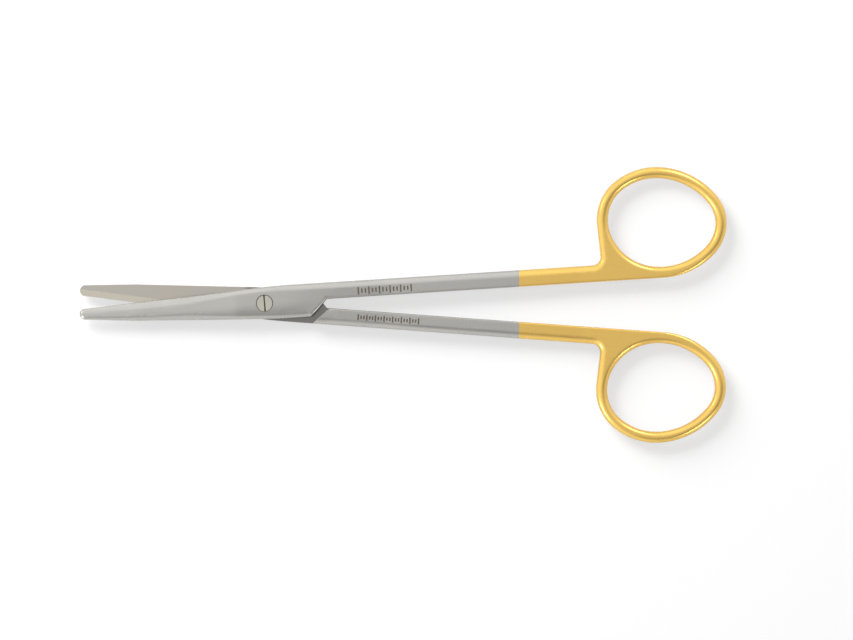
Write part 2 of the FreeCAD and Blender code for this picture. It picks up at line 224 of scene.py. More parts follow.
class Finishes(bpy.types.PropertyGroup):
    steel: colour("Steel", "Satin stainless steel", (0.522, 0.513, 0.481))
    steel_roughness: share("Steel roughness", "Roughness of the satin steel", 0.26)
    ground: colour("Ground steel", "Lap faces of the blades", (0.513, 0.494, 0.457))
    warm: colour("Warm patches", "Patches of warmer colour on the lap faces", (0.522, 0.483, 0.422))
    # Painted shade: a dark tint for the lap faces within the joint, where its walls shade them
    joint_floor_painted_shade: colour("Joint floor", "Lap faces within the joint", (0.22, 0.212, 0.198))
    ground_roughness: share("Ground roughness", "Roughness of the ground faces", 0.30)
    gold: colour("Gold", "Gold plating", (0.92, 0.605, 0.165))
    gold_roughness: share("Gold roughness", "Roughness of the plating", 0.26)
    hard_metal: colour("Hard metal", "Cutting inserts", (0.618, 0.579, 0.492))
    screw: colour("Screw", "Screw head", (0.592, 0.579, 0.50))
    # Painted shade: a dark tint for the inside of the driver slot, where its walls shade it
    slot: colour("Screw slot", "Inside of the driver slot", (0.21, 0.13, 0.113))
    mark: colour("Marks", "Etched marks", (0.062, 0.05, 0.038))


class StageSizes(bpy.types.PropertyGroup):
    centre_x: length("View centre X", "Middle of the view", 44.98)
    centre_y: length("View centre Y", "Middle of the view", -4.48)
    view_width: length("View width", "Width that the camera sees", 237.3)
    view_turn: angle("View turn", "Turn of the camera about its own axis", 0.25)
    lens: FloatProperty(name="Focal length", description="Focal length in millimetres",
                        default=180.0, min=20.0, max=400.0)
    floor: colour("Floor", "Floor and background", (0.35, 0.35, 0.35))
    floor_glow: share("Floor glow", "White added to the floor as seen, so that it shows white", 0.64)
    metal_glow: share("Floor glow in the metal", "White added to the floor as the metal shows it", 0.52)
    key_azimuth: angle("Key lamp azimuth", "Direction that the key lamp stands in", 128.0)
    key_height: angle("Key lamp height", "Angle of the key lamp over the floor", 28.0)
    key_power: power("Key lamp power", "Power of the key lamp", 12.4)
    softbox_power: power("Softbox power", "Power of a small softbox", 1.0)


# Direction in which a half's ring faces the other one
FACING = -math.pi / 2


# Outlines: points, the way into the metal at each, and the landmarks that they pass
class Outline:
    fewest_on_bend = 6

    def __init__(self, sizes):
        self.run_step = sizes.run_step
        self.arc_step = sizes.arc_step
        self.points = []
        self.inwards = []
        self.marks = {}

    def mark(self, name):
        self.marks[name] = len(self.points)

    def run(self, start, end):
        """Points on a straight run, without its last one, the metal on the left."""
        way = end - start
        steps = max(1, round(way.length / self.run_step))
        into = Vector((-way.y, way.x)).normalized()
        for number in range(steps):
            self.points.append(start + way * (number / steps))
            self.inwards.append(into)

    def bend(self, centre, radius, first, last):
        """Points on an arc, without its last one. A bend to the right is a hollow one."""
        turn = last - first
        steps = max(self.fewest_on_bend, round(abs(turn) * radius / self.arc_step))
        for number in range(steps):
            direction = first + turn * number / steps
            out = Vector((math.cos(direction), math.sin(direction)))
            self.points.append(centre + out * radius)
            self.inwards.append(-out if turn > 0 else out)

    def path(self, corners):
        """Straight runs through corners, each (name, place, radius), with tangent bends."""
        last = corners[0][1]
        self.mark(corners[0][0])
        neighbours = zip(corners, corners[1:], corners[2:])
        for (_, before, _), (name, corner, radius), (_, after, _) in neighbours:
            to_before = (before - corner).normalized()
            to_after = (after - corner).normalized()
            if radius == 0:
                self.run(last, corner)
                self.mark(name)
                last = corner
                continue
            half = to_before.angle(to_after) / 2
            start = corner + to_before * (radius / math.tan(half))
            end = corner + to_after * (radius / math.tan(half))
            centre = corner + (to_before + to_after).normalized() * (radius / math.sin(half))
            self.run(last, start)
            self.mark(name + " start")
            first = heading(start - centre)
            turn = heading(end - centre) - first
            turn -= 2 * math.pi * round(turn / (2 * math.pi))
            self.bend(centre, radius, first, first + turn)
            self.mark(name + " end")
            last = end
        self.run(last, corners[-1][1])

    def lengths(self):
        """Length of the outline up to each point, and all round."""
        ahead = self.points[1:] + self.points[:1]
        gaps = [(after - point).length for point, after in zip(self.points, ahead)]
        return np.concatenate(([0.0], np.cumsum(gaps)))


def heading(vector):
    return math.atan2(vector.y, vector.x)


def on_line(first, last, x):
    """The point at x on the straight line through two points."""
    return first + (last - first) * ((x - first.x) / (last.x - first.x))


def corners_of(half):
    """Named corners of a half, seen from above."""
    nose_x = half.tip_nose - half.blade_length
    shank_edge = half.shank_gap / 2
    return {
        "tip edge": Vector((nose_x, half.tip_edge_offset)),
        "tip back": Vector((nose_x, half.tip_edge_offset - half.tip_width)),
        "tip": Vector((-half.blade_length, half.tip_edge_offset - half.tip_width / 2)),
        "back break": Vector((half.back_break_x, -half.back_break)),
        "back turn": Vector((half.joint_back_x, -half.joint_back)),
        "heel": Vector((half.heel_x, -half.joint_back)),
        "crotch": Vector((half.crotch_x, half.crotch_gap / 2)),
        "outer turn": Vector((half.joint_outer_x, half.joint_outer)),
        "fork": Vector((half.fork_x, shank_edge + half.shank_width)),
    }


def oval_bends(half, bar):
    """Centre, radius and angles of the eight bends of the ring's opening, grown by the bar."""
    quadrants = (
        (1, -1, half.ring_rear, half.ring_inside, half.corner_rear_in),
        (1, 1, half.ring_rear, half.ring_outside, half.corner_rear_out),
        (-1, 1, half.ring_front, half.ring_outside, half.corner_front_out),
        (-1, -1, half.ring_front, half.ring_inside, half.corner_front_in),
    )
    tilt = Matrix.Rotation(half.ring_tilt, 2)
    bends = []
    for number, (along, across, reach, width, corner) in enumerate(quadrants):
        wide = (reach ** 2 - 2 * reach * corner + width ** 2) / (2 * (width - corner))
        meet = math.atan2(wide - width, reach - corner)
        first = (number - 1) * math.pi / 2 + half.ring_tilt
        last = first + math.pi / 2
        tight_centre = tilt @ Vector((along * (reach - corner), 0))
        wide_centre = tilt @ Vector((0, across * (width - wide)))
        if along == across:
            join = first + meet
            pair = [(tight_centre, corner, first, join), (wide_centre, wide, join, last)]
        else:
            join = last - meet
            pair = [(wide_centre, wide, first, join), (tight_centre, corner, join, last)]
        bends += [(centre, radius + bar, start, end) for centre, radius, start, end in pair]
    return bends


def ring_middle(half):
    """The ring's bar touches the line of the shank's inner edge."""
    for centre, radius, start, end in oval_bends(half, half.ring_bar):
        if start <= FACING < end:
            return Vector((half.ring_x, half.shank_gap / 2 + radius - centre.y))
    raise ValueError("no bend of the ring faces the other one")


def ring_front_angle(half, middle, fork):
    """Angle at which a line from the fork touches the shank side of the ring."""
    for centre, radius, start, end in oval_bends(half, half.ring_bar):
        to_centre = middle + centre - fork
        if to_centre.length > radius:
            lean = math.asin(radius / to_centre.length)
            front = heading(to_centre) + lean + math.pi / 2
            if start <= front < end:
                return front
    raise ValueError("the fork lies inside the ring")


def opening_outline(half, mesh_sizes):
    """The finger opening, walked clockwise so that the metal is on the left."""
    outline = Outline(mesh_sizes)
    middle = ring_middle(half)
    for centre, radius, start, end in reversed(oval_bends(half, 0)):
        outline.bend(middle + centre, radius, end, start)
    return outline


def half_outline(half, mesh_sizes):
    """All round a half, counter-clockwise, from the back of the tip."""
    outline = Outline(mesh_sizes)
    at = corners_of(half)
    middle = ring_middle(half)
    front = ring_front_angle(half, middle, at["fork"])
    ring = [(middle + centre, radius, max(start, FACING), min(end, front))
            for centre, radius, start, end in oval_bends(half, half.ring_bar)
            if end > FACING and start < front]
    under = ring[0][0] + Vector((0, -ring[0][1]))
    last_centre, last_radius, _, _ = ring[-1]
    front_point = last_centre + last_radius * Vector((math.cos(front), math.sin(front)))

    def straight(name, first, last, x):
        return name, on_line(at[first], at[last], x), 0

    outline.path([
        ("tip back", at["tip back"], 0),
        ("back break", at["back break"], half.back_break_radius),
        straight("back middle", "back break", "back turn", -half.blade_mid),
        straight("back root", "back break", "back turn", -half.blade_root),
        ("back turn", at["back turn"], half.joint_edge_radius),
        ("heel", at["heel"], half.heel_radius),
        ("crotch", at["crotch"], half.crotch_radius),
        ("inner shank", on_line(at["crotch"], under, half.taper_start), 0),
        ("under ring", under, 0),
    ])
    outline.mark("ring")
    outline.bend(*ring[0])
    outline.mark("ring turn")
    for bend in ring[1:]:
        outline.bend(*bend)
    outline.path([
        ("ring front", front_point, 0),
        ("fork", at["fork"], half.fork_radius),
        straight("outer shank", "outer turn", "fork", half.taper_start),
        ("outer turn", at["outer turn"], half.joint_edge_radius),
        straight("edge root", "tip edge", "outer turn", -half.blade_root),
        straight("edge middle", "tip edge", "outer turn", -half.blade_mid),
        ("tip edge", at["tip edge"], 0),
    ])
    add_nose(outline, at)
    return outline


def add_nose(outline, at):
    """One bend round the tip, from the cutting edge to the back."""
    outline.mark("tip edge")
    sagitta = at["tip edge"].x - at["tip"].x
    chord = at["tip edge"].y - at["tip"].y
    radius = (sagitta ** 2 + chord ** 2) / (2 * sagitta)
    centre = at["tip"] + Vector((radius, 0))
    first = heading(at["tip edge"] - centre)
    last = heading(at["tip back"] - centre) % (2 * math.pi)
    outline.bend(centre, radius, first, last)
    outline.marks["nose"] = (outline.marks["tip edge"] + len(outline.points)) // 2


# Edge over the outline: how far in it reaches, how deep it drops and how flat it is,
# from nothing for a full rounding to one for a bevel
Edge = namedtuple("Edge", "inset drop flatness")
BACK_BEVEL_FLATNESS = 0.8
LIP_FLATNESS = 0.75
# The edge at the heel, its sizes as factors of the lip
HEEL = Edge(2.2, 1.7, 0.35)
# How far a bevel bows outwards, as a share of its width
BEVEL_BOW = 0.07


def half_edges(half, outline):
    """Edge sizes at every point of a half's outline, blended between landmarks."""
    mid_thickness = thickness_at(half, np.array([-half.blade_mid]))[0]
    lip = Edge(half.lip, half.lip, LIP_FLATNESS)
    heel = Edge(HEEL.inset * half.lip, HEEL.drop * half.lip, HEEL.flatness)
    joint = Edge(half.joint_round, half.edge_drop, 0.0)
    back = Edge(half.back_round, half.edge_drop, half.back_border)
    inner = Edge(half.inner_round, half.inner_round, 0.0)
    outer = Edge(half.shank_round, half.edge_drop, half.shank_border)
    ring = Edge(half.ring_round, half.edge_drop, 0.0)
    landmarks = {
        "tip back": Edge(half.tip_bevel, half.tip_thickness - half.back_wall, BACK_BEVEL_FLATNESS),
        "back middle": Edge(half.back_bevel, mid_thickness - half.back_wall, BACK_BEVEL_FLATNESS),
        "back root": back,
        "heel start": back,
        "heel end": heel,
        "slant": lip,
        "crotch start": lip,
        "crotch end": lip,
        "inner shank": inner,
        "ring": inner,
        "ring turn": ring,
        "ring front": ring,
        "fork start": ring,
        "fork end": outer,
        "outer shank": outer,
        "outer turn end": joint,
        "edge root": joint,
        "edge middle": Edge(half.edge_bevel, mid_thickness - half.edge_wall, half.edge_border),
        "tip edge": Edge(half.tip_edge_bevel, half.tip_thickness - half.edge_wall, half.edge_border),
        "nose": Edge(half.nose_round, half.nose_round, 0.0),
    }
    heel_end = outline.marks["heel end"]
    crotch_start = outline.marks["crotch start"]
    outline.marks["slant"] = (2 * heel_end + crotch_start) // 3
    lengths = outline.lengths()
    places = [lengths[outline.marks[name]] for name in landmarks]
    columns = np.array(list(landmarks.values())).T
    walked = lengths[:-1]
    sizes = [np.interp(walked, places, column, period=lengths[-1]) for column in columns]
    return Edge(*[softened(column) for column in sizes])


def softened(values, rounds=4):
    """Values round a closed outline with the sharp changes of slope eased."""
    for _ in range(rounds):
        values = (np.roll(values, 1) + 2 * values + np.roll(values, -1)) / 4
    return values


def eased(x, start, end, easing):
    """Nothing before start, one after end, straight between them, with both ends eased."""
    def ramp(distance):
        over = np.clip(distance + easing / 2, 0, easing)
        return np.where(distance > easing / 2, distance, over ** 2 / (2 * easing))
    return (ramp(x - start) - ramp(x - end)) / (end - start)


def thickness_at(half, x):
    """Height of the outer face over the plane between the halves."""
    to_ring = eased(x, half.taper_start, half.taper_end, half.taper_easing)
    to_tip = eased(-x, half.blade_root, half.blade_length, half.taper_easing)
    shank = (half.ring_thickness / 2 - JOINT_THICKNESS) * to_ring
    blade = (half.tip_thickness - JOINT_THICKNESS) * to_tip
    return JOINT_THICKNESS + shank + blade


def fading(x, places, levels):
    """Levels between places, with every change eased."""
    level = np.full(np.shape(x), float(levels[0]))
    for start, end, low, high in zip(places, places[1:], levels, levels[1:]):
        part = np.clip((x - start) / (end - start), 0, 1)
        level += (high - low) * part ** 2 * (3 - 2 * part)
    return level


def fall_at(half, x, y):
    """How far the outer face falls towards the back edge of the blade and the joint."""
    at = corners_of(half)
    corners = [at[name] for name in ("tip back", "back break", "back turn", "heel")]
    back = np.interp(x, [corner.x for corner in corners], [corner.y for corner in corners])
    band = np.interp(x, [-half.blade_mid, -half.blade_root], [half.back_bevel, half.back_round])
    width = fading(x, [-half.blade_mid, half.joint_back_x], [half.crown_blade, half.crown_joint])
    ends = [at["tip"].x, at["back break"].x, at["back turn"].x, at["crotch"].x]
    fade = fading(x, ends, [0, 1, 1, 0])
    left = np.clip(1 - (y - back - band) / width, 0, 1)
    return fade * math.tan(half.crown_slope) * width / 2 * left ** 2


def lean_at(half, x, y, side):
    """How far the shank's flats fall behind the joint.

    The outer face falls towards the shank's inner edge, and the other face towards its outer one.
    """
    at = corners_of(half)
    outer = np.interp(x, [at["outer turn"].x, at["fork"].x], [at["outer turn"].y, at["fork"].y])
    start = half.joint_back_x if side > 0 else half.heel_x
    ends = [start, half.taper_start, (half.taper_start + half.lean_end) / 2, half.lean_end]
    fade = fading(x, ends, [0, 1, 1, 0])
    span = outer - half.shank_round - y if side > 0 else y - half.inner_round
    return fade * math.tan(half.shank_lean) * np.maximum(span, 0)


def surface_at(half, x, y, side):
    """Height of the flats of the outer face, with their crown and lean."""
    return thickness_at(half, x) - fall_at(half, x, y) - lean_at(half, x, y, side)


def edge_layers(half, outline, edges, layers, side):
    """Rows of points from the upright wall up over the edge, one row per layer."""
    points = np.array([tuple(point) for point in outline.points])
    inwards = np.array([tuple(into) for into in outline.inwards])
    inwards = np.column_stack([softened(column) for column in inwards.T])
    inwards /= np.linalg.norm(inwards, axis=1)[:, None]
    rounding = 1 - edges.flatness
    rows = []
    for step in np.linspace(0, 1, layers + 1):
        bow = BEVEL_BOW * math.sin(math.pi * step)
        turn = step * math.pi / 2
        across = rounding * (1 - math.cos(turn)) + edges.flatness * (step - bow)
        up = rounding * math.sin(turn) + edges.flatness * (step + bow)
        place = points + inwards * (edges.inset * across)[:, None]
        height = surface_at(half, *place.T, side) - edges.drop * (1 - np.minimum(up, 1))
        rows.append(np.column_stack([place, height]))
    return rows


# Filling flat faces
def inside(points, loops):
    """Which points lie inside the first loop and outside the others."""
    crossings = np.zeros(len(points), int)
    for loop in loops:
        for (x0, y0), (x1, y1) in zip(loop, np.roll(loop, -1, axis=0)):
            if y0 == y1:
                continue
            spans = (points[:, 1] > min(y0, y1)) & (points[:, 1] <= max(y0, y1))
            x = x0 + (points[:, 1] - y0) * (x1 - x0) / (y1 - y0)
            crossings += spans & (x > points[:, 0])
    return crossings % 2 == 1


def seeds_between(loops, step):
    """A triangular grid of points inside the loops, clear of them."""
    every = np.vstack(loops)
    low, high = every.min(0), every.max(0)
    row_gap = step * math.sqrt(0.75)
    rows = enumerate(np.arange(low[1], high[1], row_gap))
    columns = np.arange(low[0], high[0], step)
    grid = np.array([(x + step / 2 * (number % 2), y) for number, y in rows for x in columns])
    grid = grid[inside(grid, loops)]
    nearest = np.array([np.min(np.hypot(*(every - point).T)) for point in grid])
    return grid[nearest > step / 2]


def fill(loops, seeds):
    """Triangles over the face between the loops, as indices into loops and then seeds."""
    points = np.vstack(loops + [seeds])
    edges = []
    first = 0
    for loop in loops:
        count = len(loop)
        edges += [(first + number, first + (number + 1) % count) for number in range(count)]
        first += count
    whole_hull, same_place, give_sources = 0, 1e-9, True
    _, _, made, made_from, _, _ = delaunay_2d_cdt(
        [Vector(point) for point in points], edges, [], whole_hull, same_place, give_sources)
    sources = [ids[0] if ids else None for ids in made_from]
    triangles = np.array([[sources[corner] for corner in face] for face in made])
    centres = points[triangles].mean(axis=1)
    triangles = triangles[inside(centres, loops)]
    a, b, c = (points[triangles[:, corner]] for corner in range(3))
    area = np.cross(b - a, c - a)
    triangles[area < 0] = triangles[area < 0][:, ::-1]
    return triangles


# The forging: both faces, walls and opening, before the joint is cut
STEEL, GROUND, GOLD = range(3)


def half_blank(half, mesh_sizes):
    """A closed mesh of a half at full thickness all over."""
    outlines = [half_outline(half, mesh_sizes), opening_outline(half, mesh_sizes)]
    ring = [np.full(len(outlines[1].points), size) for size in (half.ring_round, half.edge_drop, 0.0)]
    edges = [half_edges(half, outlines[0]), Edge(*ring)]
    places = []
    faces = []
    walls = []
    for side in (1, -1):
        rows = [edge_layers(half, outline, sizes, mesh_sizes.layers, side)
                for outline, sizes in zip(outlines, edges)]
        if side > 0:
            # The other side takes the same fill
            tops = [loop_rows[-1][:, :2] for loop_rows in rows]
            seeds = seeds_between(tops, mesh_sizes.fill_step)
            triangles = fill(tops, seeds)
        rims = []
        for loop_rows in rows:
            first, count = len(places), len(loop_rows[0])
            for row in loop_rows:
                places += [(x, y, side * z) for x, y, z in row]
            starts = range(first, len(places), count)
            for low, high in zip(starts, starts[1:]):
                faces += [quad[::side] for quad in band(low, high, count)]
            rims += range(starts[-1], len(places))
            walls.append((first, count))
        first = len(places)
        places += [(x, y, side * z) for (x, y), z in zip(seeds, surface_at(half, *seeds.T, side))]
        lookup = np.array(rims + list(range(first, len(places))))
        faces += lookup[triangles][:, ::side].tolist()
    kinds = [STEEL] * len(faces)
    for (top, count), (bottom, _), outline in zip(walls[:2], walls[2:], outlines):
        faces += band(bottom, top, count)
        kinds += [GROUND if is_slant(outline, number) else STEEL for number in range(count)]
    return places, faces, kinds


def band(low, high, count):
    """Faces between two closed rows of points, by the number of each row's first point."""
    pairs = [(number, (number + 1) % count) for number in range(count)]
    return [[low + number, low + after, high + after, high + number] for number, after in pairs]


def is_slant(outline, number):
    """Whether a point lies on the slanted edge of the joint."""
    marks = outline.marks
    return "heel end" in marks and marks["heel end"] <= number < marks["crotch start"]


# Tools that cut the joint
def prism(name, corners, bottom, top):
    """An upright block over a convex or hollow outline, walked counter-clockwise."""
    mesh = bpy.data.meshes.new(name)
    count = len(corners)
    places = [(x, y, z) for z in (bottom, top) for x, y in corners]
    caps = [list(range(count))[::-1], list(range(count, 2 * count))]
    mesh.from_pydata(places, [], band(0, count, count) + caps)
    mesh.polygons.foreach_set("material_index", [GROUND] * len(mesh.polygons))
    return linked(bpy.data.objects.new(name, mesh))


def round_tool(name, radius, bottom, top, sides):
    steps = [2 * math.pi * number / sides for number in range(sides)]
    return prism(name, [(radius * math.cos(a), radius * math.sin(a)) for a in steps], bottom, top)


def shoulder_of(half):
    """The shoulder's outer and inner end, and the way from the inner to the outer one."""
    at = corners_of(half)
    outer = on_line(at["outer turn"], at["fork"], half.shoulder_outer_x)
    inner = Vector((half.shoulder_inner_x, half.crotch_gap / 2))
    return outer, inner, (outer - inner).normalized()


def lap_tool(half):
    """Room for the other half, up to the slanted shoulder."""
    outer, inner, along = shoulder_of(half)
    top, bottom = outer + along * FAR, inner - along * FAR
    return prism("lap", [top, (-2 * FAR, 2 * FAR), (-2 * FAR, -2 * FAR), bottom], -FAR, LAP)


def lip_tool(half):
    """Wedge that chamfers the shoulder's lip. Its size, in lips, keeps its top under the lap face."""
    outer, inner, along = shoulder_of(half)
    into = Vector((-along.y, along.x)) * -half.lip
    size = 5
    past_end = along * (20 * MM)
    places = []
    for end in (inner - past_end, outer + past_end):
        for across, up in ((-size, -size), (1 + size, -size), (-size, 1 + size)):
            spot = end + into * across
            places.append((spot.x, spot.y, half.lip * up - JOINT_THICKNESS))
    mesh = bpy.data.meshes.new("lip")
    mesh.from_pydata(places, [], [[0, 1, 2], [5, 4, 3], [0, 3, 4, 1], [1, 4, 5, 2], [2, 5, 3, 0]])
    tool = linked(bpy.data.objects.new("lip", mesh))
    outward_faces(tool)
    return tool


def seat_tool(half):
    """The insert's seat along the cutting edge."""
    at = corners_of(half)
    root = on_line(at["tip edge"], at["outer turn"], -half.insert_root + half.insert_seam)
    end = on_line(at["tip edge"], at["outer turn"], -2 * half.blade_length)
    width = Vector((0, half.insert_width + half.insert_seam))
    clear = Vector((0, half.joint_outer))
    corners = [root + clear, end + clear, end - width, root - width]
    return prism("seat", corners, LAP - half.tip_thickness, LAP + INSERT_THICKNESS)


def screw_tools(half, screw, mesh_sizes, lower):
    """Tapped hole for the lower half; bore and counterbore for the upper one."""
    sides = mesh_sizes.hole_sides
    if lower:
        return [round_tool("tapped hole", screw.thread_radius + screw.thread_gap, -FAR, FAR, sides)]
    head_bottom = JOINT_THICKNESS - screw.head_thickness - screw.running_gap
    head_radius = SCREW_BOX[1].x + screw.counterbore_gap
    return [
        round_tool("bore", screw.journal_radius + screw.running_gap, -FAR, FAR, sides),
        round_tool("counterbore", head_radius, head_bottom, FAR, sides),
    ]


# Blender helpers
def linked(piece):
    bpy.context.scene.collection.objects.link(piece)
    return piece


def outward_faces(piece):
    work = bmesh.new()
    work.from_mesh(piece.data)
    bmesh.ops.recalc_face_normals(work, faces=work.faces)
    work.to_mesh(piece.data)
    work.free()


def baked(piece):
    """Turns what the modifiers make into the piece's own plain mesh."""
    evaluated = piece.evaluated_get(bpy.context.evaluated_depsgraph_get())
    mesh = bpy.data.meshes.new_from_object(evaluated)
    for number in reversed(range(len(mesh.materials))):
        if mesh.materials[number] is None:
            mesh.materials.pop(index=number)
    old = piece.data
    piece.modifiers.clear()
    piece.data = mesh
    mesh.name = piece.name
    bpy.data.meshes.remove(old)


def cut(piece, tools):
    """Cuts the tools out of the piece and deletes them."""
    for tool in tools:
        modifier = piece.modifiers.new(tool.name, "BOOLEAN")
        modifier.operation = "DIFFERENCE"
        modifier.solver = "MANIFOLD"
        modifier.object = tool
    baked(piece)
    for tool in tools:
        mesh = tool.data
        bpy.data.objects.remove(tool)
        bpy.data.meshes.remove(mesh)


def crisp(piece, sharp):
    """Smooth shading with the real edges left crisp."""
    piece.data.shade_smooth()
    piece.data.set_sharp_from_angle(angle=sharp)


def split_plating(piece, line_x):
    """Cuts the faces along the plating line and plates what lies past it."""
    work = bmesh.new()
    work.from_mesh(piece.data)
    everything = work.verts[:] + work.edges[:] + work.faces[:]
    bmesh.ops.bisect_plane(work, geom=everything, dist=0.1 * WELD,
                           plane_co=(line_x, 0, 0), plane_no=(1, 0, 0))
    for face in work.faces:
        if face.calc_center_median().x > line_x:
            face.material_index = GOLD
    work.to_mesh(piece.data)
    work.free()


def half_place(half, lower):
    """Matrix that brings a closed half to where it lies."""
    turn = -half.rest_opening / 2 if lower else half.rest_opening / 2
    over = Matrix.Rotation(math.pi if lower else 0.0, 4, "X")
    return Matrix.Translation((0, 0, JOINT_THICKNESS)) @ Matrix.Rotation(turn, 4, "Z") @ over


class SCISSORS_OT_halves(bpy.types.Operator):
    """Builds the two forged halves in place of the plain ones"""
    bl_idname = "scissors.halves"
    bl_label = "Forged halves"

    def execute(self, context):
        sizes = context.scene.scissors
        half, mesh_sizes = sizes.half, sizes.mesh
        places, faces, kinds = half_blank(half, mesh_sizes)
        materials = half_materials(sizes.finishes)
        for name, body, lower in (("upper_half", "upper", False), ("lower_half", "lower", True)):
            mesh = bpy.data.meshes.new("forged_" + name)
            mesh.from_pydata(places, [], faces)
            mesh.polygons.foreach_set("material_index", kinds)
            for material in materials:
                mesh.materials.append(material)
            piece = linked(bpy.data.objects.new("forged_" + name, mesh))
            tools = [lap_tool(half), lip_tool(half), seat_tool(half)]
            cut(piece, tools + screw_tools(half, sizes.screw, mesh_sizes, lower))
            piece.data.transform(half_place(half, lower))
            split_plating(piece, half.plating_x)
            crisp(piece, mesh_sizes.sharp)
            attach(piece, body)
            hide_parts(name)
        return {"FINISHED"}


# Node helpers
class Output:
    """What a node puts out, which takes part in sums as a plain number does."""

    def __init__(self, tree, socket):
        self.tree = tree
        self.socket = socket

    def calc(self, operation, *others):
        return math_node(self.tree, operation, self, *others)

    def __add__(self, other):
        return self.calc("ADD", other)

    def __sub__(self, other):
        return self.calc("SUBTRACT", other)

    def __rsub__(self, other):
        return math_node(self.tree, "SUBTRACT", other, self)

    def __mul__(self, other):
        return self.calc("MULTIPLY", other)

    def __truediv__(self, other):
        return self.calc("DIVIDE", other)


def feed(tree, made, inputs):
    """Links a node's inputs to outputs or sets them to plain values, by name or number."""
    for label, value in inputs.items():
        if isinstance(value, Output):
            tree.links.new(value.socket, made.inputs[label])
        else:
            made.inputs[label].default_value = value


def node(tree, kind, inputs=None, **settings):
    made = tree.nodes.new(kind)
    for name, value in settings.items():
        setattr(made, name, value)
    feed(tree, made, inputs or {})
    return made


def fed(tree, kind, inputs=None, output=0, **settings):
    """One thing that a new node puts out, the first unless it is named."""
    return Output(tree, node(tree, kind, inputs, **settings).outputs[output])


def all_of(tree, kind, inputs=None, **settings):
    """Everything that a new node puts out, by name."""
    made = node(tree, kind, inputs, **settings)
    return {socket.name: Output(tree, socket) for socket in made.outputs}


def math_node(tree, operation, *values):
    return fed(tree, "ShaderNodeMath", dict(enumerate(values)), operation=operation)


def vector(tree, x, y, z):
    return fed(tree, "ShaderNodeCombineXYZ", {"X": x, "Y": y, "Z": z})


def coordinates(tree, place):
    """The X, Y and Z of a place or direction."""
    return all_of(tree, "ShaderNodeSeparateXYZ", {"Vector": place}).values()


def object_place(tree):
    return fed(tree, "ShaderNodeTexCoord", output="Object")


def ranged(tree, value, low, high, first=0.0, last=1.0, smooth=False):
    """A number kept within one range and brought to another."""
    inputs = {"Value": value, "From Min": low, "From Max": high, "To Min": first, "To Max": last}
    kind = "SMOOTHSTEP" if smooth else "LINEAR"
    return fed(tree, "ShaderNodeMapRange", inputs, interpolation_type=kind)


def mixed(tree, share_of_second, first, second):
    return fed(tree, "ShaderNodeMix", {0: share_of_second, 2: first, 3: second}, data_type="FLOAT")


def mixed_colour(tree, share_of_second, first, second):
    inputs = {0: share_of_second, 6: first, 7: second}
    return fed(tree, "ShaderNodeMix", inputs, output=2, data_type="RGBA")


def rgba(tint, shade=1.0):
    """A tint as an opaque colour, darker or paler by a factor."""
    return (*(part * shade for part in tint), 1.0)


def noise(tree, place, scale, detail):
    inputs = {"Vector": place, "Scale": scale, "Detail": detail}
    return fed(tree, "ShaderNodeTexNoise", inputs, noise_dimensions="3D")


def contrasted(tree, value):
    """Noise with its usual range spread from nothing to one."""
    return ranged(tree, value, 0.3, 0.7)


def bumped(tree, height, strength, distance):
    inputs = {"Strength": strength, "Distance": distance, "Height": height}
    return fed(tree, "ShaderNodeBump", inputs)


# Shader node groups that the materials share
def fine_lines(tree, given):
    """Fine lines of grinding or brushing along one direction, as a height and a mask."""
    turned = fed(tree, "ShaderNodeVectorRotate", {"Vector": object_place(tree), "Angle": given["Turn"]},
                 rotation_type="Z_AXIS")
    scale = vector(tree, given["Along"], given["Across"], given["Across"])
    stretched = fed(tree, "ShaderNodeVectorMath", {0: turned, 1: scale}, operation="MULTIPLY")
    lines = noise(tree, stretched, scale=1.0, detail=3.0)
    return {"Height": lines, "Mask": contrasted(tree, lines)}


def handling(tree, given):
    """Soft uneven patches and fine specks left by handling and polishing, as masks."""
    place = object_place(tree)
    return {
        "Patches": contrasted(tree, noise(tree, place, given["Size"], detail=4.0)),
        "Specks": contrasted(tree, noise(tree, place, given["Speckle"], detail=2.0)),
    }


# For each group, what builds it, its inputs with their usual values, and its outputs
GROUPS = {
    "Fine lines": (fine_lines, {"Turn": 0.0, "Along": 60.0, "Across": 6000.0}, ("Height", "Mask")),
    "Handling": (handling, {"Size": 120.0, "Speckle": 2500.0}, ("Patches", "Specks")),
}


def shared_group(name):
    """A shader node group of plain numbers, built when it is first asked for."""
    if name in bpy.data.node_groups:
        return bpy.data.node_groups[name]
    build, inputs, outputs = GROUPS[name]
    tree = bpy.data.node_groups.new(name, "ShaderNodeTree")
    for label, default in inputs.items():
        socket = tree.interface.new_socket(name=label, in_out="INPUT", socket_type="NodeSocketFloat")
        socket.default_value = default
    for label in outputs:
        tree.interface.new_socket(name=label, in_out="OUTPUT", socket_type="NodeSocketFloat")
    node(tree, "NodeGroupOutput", build(tree, all_of(tree, "NodeGroupInput")))
    return tree


def group_node(tree, name, values=None):
    """Places a shared group with its own values, and gives its outputs by name."""
    return all_of(tree, "ShaderNodeGroup", values, node_tree=shared_group(name))


# Materials
LINE_DEPTH = 0.02 * MM
INK_ROUGHNESS = 0.6
INK_SPECK_SHADE = 1.7
INK_RELIEF = 0.4
INK_GRAIN_DEPTH = 0.01 * MM
# Where painted shade darkens the lap faces towards the joint, along X
JOINT_PAINTED_SHADE_BORDER = (-6.5 * MM, -4.0 * MM)
# Where painted shade darkens the slot towards its ends, by the distance from the axis, and the tint of
# that painted shade
SLOT_SHADE_BORDER = (1.35 * MM, 1.9 * MM)
PAINTED_SLOT_END_SHADE = (0.03, 0.026, 0.022)


def new_material(name):
    """A material with nothing but a shader: the material, its tree and the shader."""
    material = bpy.data.materials.new(name)
    material.use_nodes = True
    tree = material.node_tree
    tree.nodes.clear()
    shader = node(tree, "ShaderNodeBsdfPrincipled")
    node(tree, "ShaderNodeOutputMaterial", {"Surface": Output(tree, shader.outputs["BSDF"])})
    return material, tree, shader


